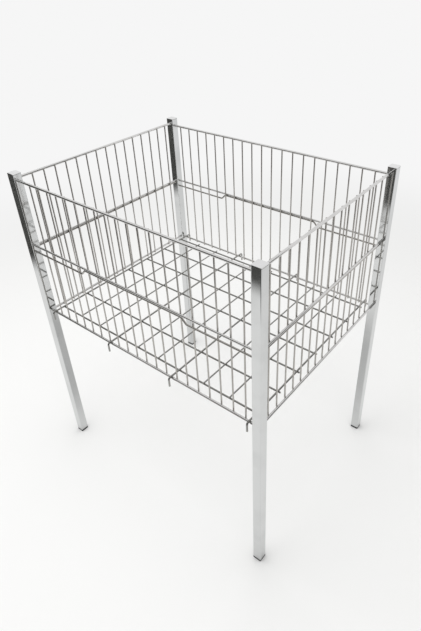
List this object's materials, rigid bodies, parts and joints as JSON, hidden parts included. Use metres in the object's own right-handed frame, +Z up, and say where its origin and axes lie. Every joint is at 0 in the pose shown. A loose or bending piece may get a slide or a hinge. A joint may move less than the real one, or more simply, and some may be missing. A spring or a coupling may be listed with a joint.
{
  "type": "retail dump bin",
  "caption": "Free-standing chrome wire dump bin: square tube legs carry an open-topped basket of vertical wires with a hooked-in wire floor that lifts.",
  "frame": {"origin": "on the ground under the middle of the bin", "axes": "+Z up, +X along the long sides to the right, +Y from front to back"},
  "size_m": [0.8, 0.61, 0.96],
  "materials": {
    "chrome_tube": "bright chrome plate on square steel tube",
    "chrome_cap": "bright chrome plated cap",
    "chrome_wire": "bright chrome plate on drawn steel wire",
    "floor_wire": "bright chrome plate on drawn steel wire",
    "foot_plastic": "black moulded polyethylene"
  },
  "bodies": {
    "bin_frame": {"post_front_left": "chrome_tube", "cap_front_left": "chrome_cap", "foot_front_left": "foot_plastic", "post_front_right": "chrome_tube", "cap_front_right": "chrome_cap", "foot_front_right": "foot_plastic", "post_rear_left": "chrome_tube", "cap_rear_left": "chrome_cap", "foot_rear_left": "foot_plastic", "post_rear_right": "chrome_tube", "cap_rear_right": "chrome_cap", "foot_rear_right": "foot_plastic", "top_rail_front": "chrome_wire", "mid_rail_front": "chrome_wire", "bottom_rail_front": "chrome_wire", "brace_wire_front": "chrome_wire", "uprights_front": "chrome_wire", "top_rail_rear": "chrome_wire", "mid_rail_rear": "chrome_wire", "bottom_rail_rear": "chrome_wire", "brace_wire_rear": "chrome_wire", "uprights_rear": "chrome_wire", "top_rail_left": "chrome_wire", "mid_rail_left": "chrome_wire", "bottom_rail_left": "chrome_wire", "brace_wire_left": "chrome_wire", "uprights_left": "chrome_wire", "top_rail_right": "chrome_wire", "mid_rail_right": "chrome_wire", "bottom_rail_right": "chrome_wire", "brace_wire_right": "chrome_wire", "uprights_right": "chrome_wire"},
    "floor_grid": {"floor_hook_wire_far_left": "floor_wire", "floor_hook_wire_left": "floor_wire", "floor_hook_wire_right": "floor_wire", "floor_hook_wire_far_right": "floor_wire", "floor_long_wires": "floor_wire", "floor_cross_wires": "floor_wire"}
  },
  "joints": [
    {"name": "floor_lift", "type": "slide", "parent": "bin_frame", "child": "floor_grid", "axis": [0, 0, 1], "range_m": [0, 0.15]}
  ]
}
